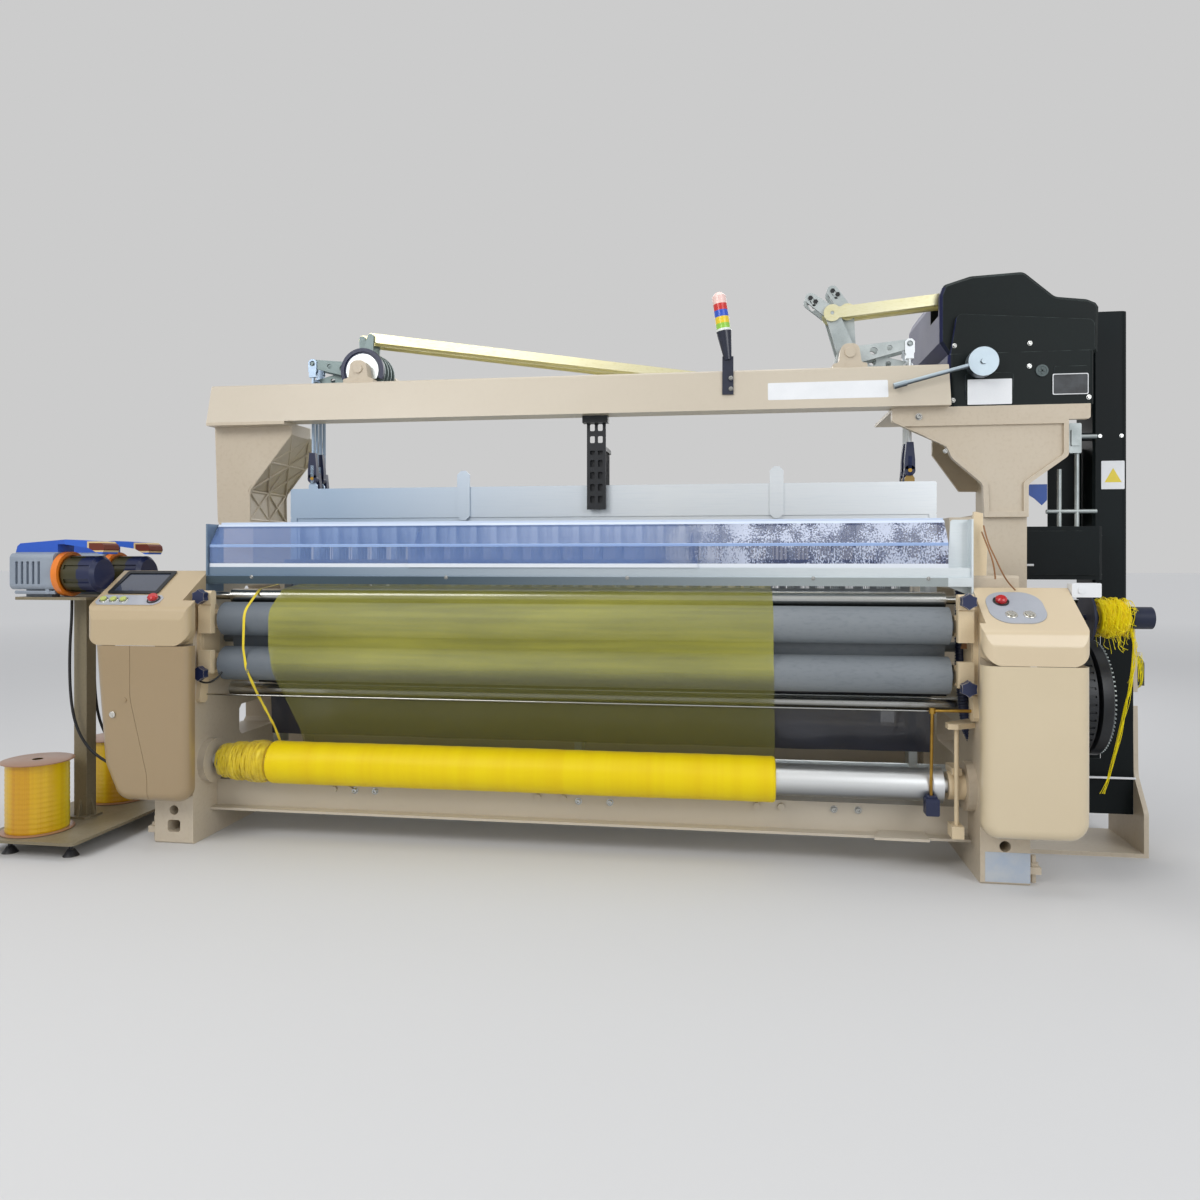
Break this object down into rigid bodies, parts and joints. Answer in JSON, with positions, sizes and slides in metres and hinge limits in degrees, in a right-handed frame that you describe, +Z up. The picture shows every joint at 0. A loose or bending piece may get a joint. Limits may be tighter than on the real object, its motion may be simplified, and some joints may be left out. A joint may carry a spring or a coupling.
{
  "type": "power loom",
  "caption": "Water-jet power loom with heald frames, dobby lever drive, cloth take-up rollers, operator desks, splash shields and a weft feeder stand.",
  "frame": {"origin": "middle of the machine's footprint, at floor level", "axes": "+X to the right seen from the weaver's side, +Y to the warp beam at the back, +Z up"},
  "size_m": [3.97, 1.9799, 2.0119],
  "materials": {
    "beige_paint": "semi-gloss machine enamel on castings and folded steel",
    "beige_shell": "smooth moulded covers, gloss",
    "galvanised": "drawn aluminium and zinc-plated sheet, satin",
    "clear_shield": "tinted clear splash sheet",
    "rubber_roller": "grey rubber-covered rollers, matt",
    "bright_steel": "ground steel bars and journals",
    "silver_tube": "smooth aluminium tube",
    "yarn_yellow": "bright yellow filament yarn, satin sheen",
    "cloth_yellow": "thin open filament cloth, translucent",
    "black_paint": "black textured paint",
    "black_plastic": "black moulded plastic",
    "zinc_yellow": "yellow passivated flat steel",
    "cast_silver": "bright cast levers",
    "screen_glass": "dark touch screen in a grey bezel",
    "red_plastic": "red emergency stop",
    "green_plastic": "yellow-green push buttons",
    "silver_button": "bright push buttons",
    "lamp_stack": "coloured lamp segments on a black holder",
    "feeder_grey": "grey painted feeder housings with a blue top",
    "orange_ring": "orange winding disc",
    "stand_steel": "grey-beige painted steel",
    "cable_black": "black cable sheath",
    "reed_steel": "fine steel reed dents"
  },
  "bodies": {
    "frame": {"left_side_frame": "beige_paint", "right_side_frame": "beige_paint", "cross_beams": "beige_paint", "top_beams": "beige_paint", "left_post": "beige_paint", "right_post": "beige_paint", "left_lower_cover": "beige_shell", "right_lower_cover": "beige_shell", "touch_screen": "screen_glass", "left_console": "beige_shell", "right_console": "beige_shell", "breast_rail": "galvanised", "fixed_shields": "clear_shield", "guide_bars": "bright_steel", "roller_brackets": "beige_paint", "warp_and_cloth": "cloth_yellow", "lever_shafts": "beige_paint", "heald_guide_comb": "black_paint", "dobby_housing": "black_paint", "dobby_cover": "black_paint", "drive_guard": "black_paint", "electrical_box": "black_paint", "signal_tower": "lamp_stack", "feeder_stand": "stand_steel", "yarn_spools": "yarn_yellow", "feeder_bodies": "feeder_grey", "feeder_cables": "cable_black"},
    "left_door": {"left_cover_door": "beige_shell"},
    "estop_left": {"left_estop": "red_plastic"},
    "button_left_1": {"left_button_1": "green_plastic"},
    "button_left_2": {"left_button_2": "green_plastic"},
    "button_left_3": {"left_button_3": "green_plastic"},
    "estop_right": {"right_estop": "red_plastic"},
    "button_right_start": {"right_start_button": "silver_button"},
    "button_right_stop": {"right_stop_button": "silver_button"},
    "press_roller_upper": {"upper_press_roller": "rubber_roller"},
    "press_roller_lower": {"lower_press_roller": "rubber_roller"},
    "take_up": {"take_up_roller": "rubber_roller"},
    "cloth_winder": {"cloth_beam": "silver_tube", "cloth_roll": "yarn_yellow"},
    "sley_body": {"sley": "galvanised", "reed": "reed_steel"},
    "warp_winder": {"warp_beam": "galvanised"},
    "back_rest_body": {"back_rest": "bright_steel"},
    "main_drive": {"drive_pulley": "black_paint"},
    "waste_winder": {"waste_reel": "black_plastic"},
    "hand_lever_body": {"hand_lever": "bright_steel"},
    "rotor_front": {"feeder_rotor_front": "orange_ring"},
    "rotor_rear": {"feeder_rotor_rear": "orange_ring"},
    "shield_pane": {"sliding_shield": "clear_shield"},
    "right_levers_a_body": {"right_levers_a": "cast_silver"},
    "left_levers_a_body": {"left_levers_a": "cast_silver"},
    "cross_rods_a_body": {"cross_rods_a": "zinc_yellow"},
    "dobby_rods_a_body": {"dobby_rods_a": "zinc_yellow"},
    "heald_frames_a_body": {"heald_frames_a": "galvanised"},
    "right_levers_b_body": {"right_levers_b": "cast_silver"},
    "left_levers_b_body": {"left_levers_b": "cast_silver"},
    "cross_rods_b_body": {"cross_rods_b": "zinc_yellow"},
    "dobby_rods_b_body": {"dobby_rods_b": "zinc_yellow"},
    "heald_frames_b_body": {"heald_frames_b": "galvanised"}
  },
  "joints": [
    {"name": "left_door_hinge", "type": "hinge", "parent": "frame", "child": "left_door", "pos_m": [-1.63, -0.76, 0.44], "axis": [0, 0, -1], "range_deg": [0, 65]},
    {"name": "left_button_1_press", "type": "slide", "parent": "frame", "child": "button_left_1", "axis": [0, 0.5255, -0.8508], "range_m": [0, 0.004], "stiffness_N_per_m": 600},
    {"name": "left_button_2_press", "type": "slide", "parent": "frame", "child": "button_left_2", "axis": [0, 0.5255, -0.8508], "range_m": [0, 0.004], "stiffness_N_per_m": 600},
    {"name": "left_button_3_press", "type": "slide", "parent": "frame", "child": "button_left_3", "axis": [0, 0.5255, -0.8508], "range_m": [0, 0.004], "stiffness_N_per_m": 600},
    {"name": "left_estop_press", "type": "slide", "parent": "frame", "child": "estop_left", "axis": [0, 0.5255, -0.8508], "range_m": [0, 0.004], "stiffness_N_per_m": 600},
    {"name": "right_start_press", "type": "slide", "parent": "frame", "child": "button_right_start", "axis": [0, 0.5361, -0.8442], "range_m": [0, 0.004], "stiffness_N_per_m": 600},
    {"name": "right_stop_press", "type": "slide", "parent": "frame", "child": "button_right_stop", "axis": [0, 0.5361, -0.8442], "range_m": [0, 0.004], "stiffness_N_per_m": 600},
    {"name": "right_estop_press", "type": "slide", "parent": "frame", "child": "estop_right", "axis": [0, 0.5361, -0.8442], "range_m": [0, 0.004], "stiffness_N_per_m": 600},
    {"name": "take_up_turn", "type": "hinge", "parent": "frame", "child": "take_up", "pos_m": [0, -0.552, 0.711], "axis": [1, 0, 0], "continuous": true},
    {"name": "upper_press_turn", "type": "hinge", "parent": "frame", "child": "press_roller_upper", "pos_m": [0, -0.68, 0.79], "axis": [1, 0, 0], "continuous": true},
    {"name": "lower_press_turn", "type": "hinge", "parent": "frame", "child": "press_roller_lower", "pos_m": [0, -0.68, 0.632], "axis": [1, 0, 0], "continuous": true},
    {"name": "cloth_beam_turn", "type": "hinge", "parent": "frame", "child": "cloth_winder", "pos_m": [0, -0.66, 0.277], "axis": [1, 0, 0], "continuous": true},
    {"name": "warp_beam_turn", "type": "hinge", "parent": "frame", "child": "warp_winder", "pos_m": [0, 0.59, 0.47], "axis": [1, 0, 0], "continuous": true},
    {"name": "back_rest_turn", "type": "hinge", "parent": "frame", "child": "back_rest_body", "pos_m": [0, 0.49, 0.955], "axis": [1, 0, 0], "continuous": true},
    {"name": "main_shaft_turn", "type": "hinge", "parent": "frame", "child": "main_drive", "pos_m": [1.7, -0.29, 0.52], "axis": [1, 0, 0], "continuous": true},
    {"name": "waste_reel_turn", "type": "hinge", "parent": "frame", "child": "waste_winder", "pos_m": [1.7, -0.54, 0.812], "axis": [1, 0, 0], "continuous": true},
    {"name": "front_rotor_turn", "type": "hinge", "parent": "frame", "child": "rotor_front", "pos_m": [-1.812, -0.76, 0.95], "axis": [1, 0, 0], "continuous": true},
    {"name": "rear_rotor_turn", "type": "hinge", "parent": "frame", "child": "rotor_rear", "pos_m": [-1.812, -0.51, 0.95], "axis": [1, 0, 0], "continuous": true},
    {"name": "sley_swing", "type": "hinge", "parent": "frame", "child": "sley_body", "pos_m": [0, -0.398, 0.262], "axis": [1, 0, 0], "range_deg": [0, 7.5]},
    {"name": "hand_lever_swing", "type": "hinge", "parent": "frame", "child": "hand_lever_body", "pos_m": [1.412, -0.38, 1.682], "axis": [0, 1, 0], "range_deg": [-8, 30]},
    {"name": "shield_slide", "type": "slide", "parent": "frame", "child": "shield_pane", "axis": [1, 0, 0], "range_m": [-0.62, 0.62]},
    {"name": "shed_a", "type": "hinge", "parent": "frame", "child": "right_levers_a_body", "pos_m": [0.97534, -0.303, 1.742], "axis": [0, 1, 0], "range_deg": [0, 20]},
    {"name": "shed_b", "type": "hinge", "parent": "frame", "child": "right_levers_b_body", "pos_m": [0.97534, -0.271, 1.742], "axis": [0, 1, 0], "range_deg": [-20, 0]},
    {"name": "left_shed_a", "type": "hinge", "parent": "frame", "child": "left_levers_a_body", "pos_m": [-0.87534, -0.303, 1.742], "axis": [0, 1, 0], "range_deg": [-20, 0]},
    {"name": "left_shed_b", "type": "hinge", "parent": "frame", "child": "left_levers_b_body", "pos_m": [-0.87534, -0.271, 1.742], "axis": [0, 1, 0], "range_deg": [0, 20]},
    {"name": "cross_rod_a_pin", "type": "hinge", "parent": "right_levers_a_body", "child": "cross_rods_a_body", "pos_m": [0.99931, -0.303, 1.6061], "axis": [0, 1, 0], "range_deg": [-20, 0]},
    {"name": "cross_rod_b_pin", "type": "hinge", "parent": "right_levers_b_body", "child": "cross_rods_b_body", "pos_m": [0.95138, -0.271, 1.6061], "axis": [0, 1, 0], "range_deg": [0, 20]},
    {"name": "dobby_rod_a_pin", "type": "hinge", "parent": "right_levers_a_body", "child": "dobby_rods_a_body", "pos_m": [0.91926, -0.303, 1.90036], "axis": [0, 1, 0], "range_deg": [-20, 0]},
    {"name": "dobby_rod_b_pin", "type": "hinge", "parent": "right_levers_b_body", "child": "dobby_rods_b_body", "pos_m": [0.97681, -0.271, 1.90999], "axis": [0, 1, 0], "range_deg": [0, 20]},
    {"name": "heald_lift_a", "type": "slide", "parent": "frame", "child": "heald_frames_a_body", "axis": [0, 0, 1], "range_m": [-0.07661, 0]},
    {"name": "heald_lift_b", "type": "slide", "parent": "frame", "child": "heald_frames_b_body", "axis": [0, 0, 1], "range_m": [0, 0.07661]}
  ],
  "couplings": [
    {"joint": "upper_press_turn", "follows": "take_up_turn", "ratio": -1.3667},
    {"joint": "lower_press_turn", "follows": "take_up_turn", "ratio": -1.3667},
    {"joint": "shed_b", "follows": "shed_a", "ratio": -1},
    {"joint": "left_shed_a", "follows": "shed_a", "ratio": -1},
    {"joint": "left_shed_b", "follows": "shed_a", "ratio": 1},
    {"joint": "cross_rod_a_pin", "follows": "shed_a", "ratio": -1},
    {"joint": "cross_rod_b_pin", "follows": "shed_a", "ratio": 1},
    {"joint": "dobby_rod_a_pin", "follows": "shed_a", "ratio": -1},
    {"joint": "dobby_rod_b_pin", "follows": "shed_a", "ratio": 1},
    {"joint": "heald_lift_a", "follows": "shed_a", "m_per_rad": -0.21888},
    {"joint": "heald_lift_b", "follows": "shed_a", "m_per_rad": 0.21888}
  ]
}
